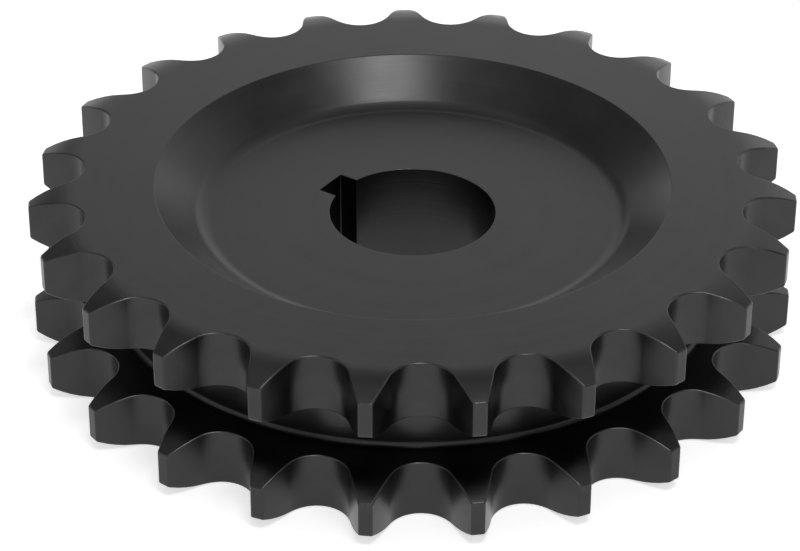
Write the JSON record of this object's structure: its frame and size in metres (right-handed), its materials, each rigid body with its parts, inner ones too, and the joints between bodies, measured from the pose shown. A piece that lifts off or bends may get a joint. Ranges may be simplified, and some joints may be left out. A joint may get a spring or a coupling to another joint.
{
  "type": "chain sprocket",
  "caption": "Two-row plate sprocket for half-inch pitch duplex roller chain, with a dished front recess and a plain bore with a keyway.",
  "frame": {"origin": "centre of the bore at the flat back face", "axes": "+Z along the bore axis out of the recessed front face, +Y through the middle of the keyway and the tooth gap in line with it, +X completes the right-handed frame"},
  "size_m": [0.0984, 0.0982, 0.022],
  "materials": {
    "blackened_steel": "black oxide over turned and milled carbon steel, semi-gloss"
  },
  "bodies": {
    "root": {"sprocket": "blackened_steel"}
  },
  "joints": []
}
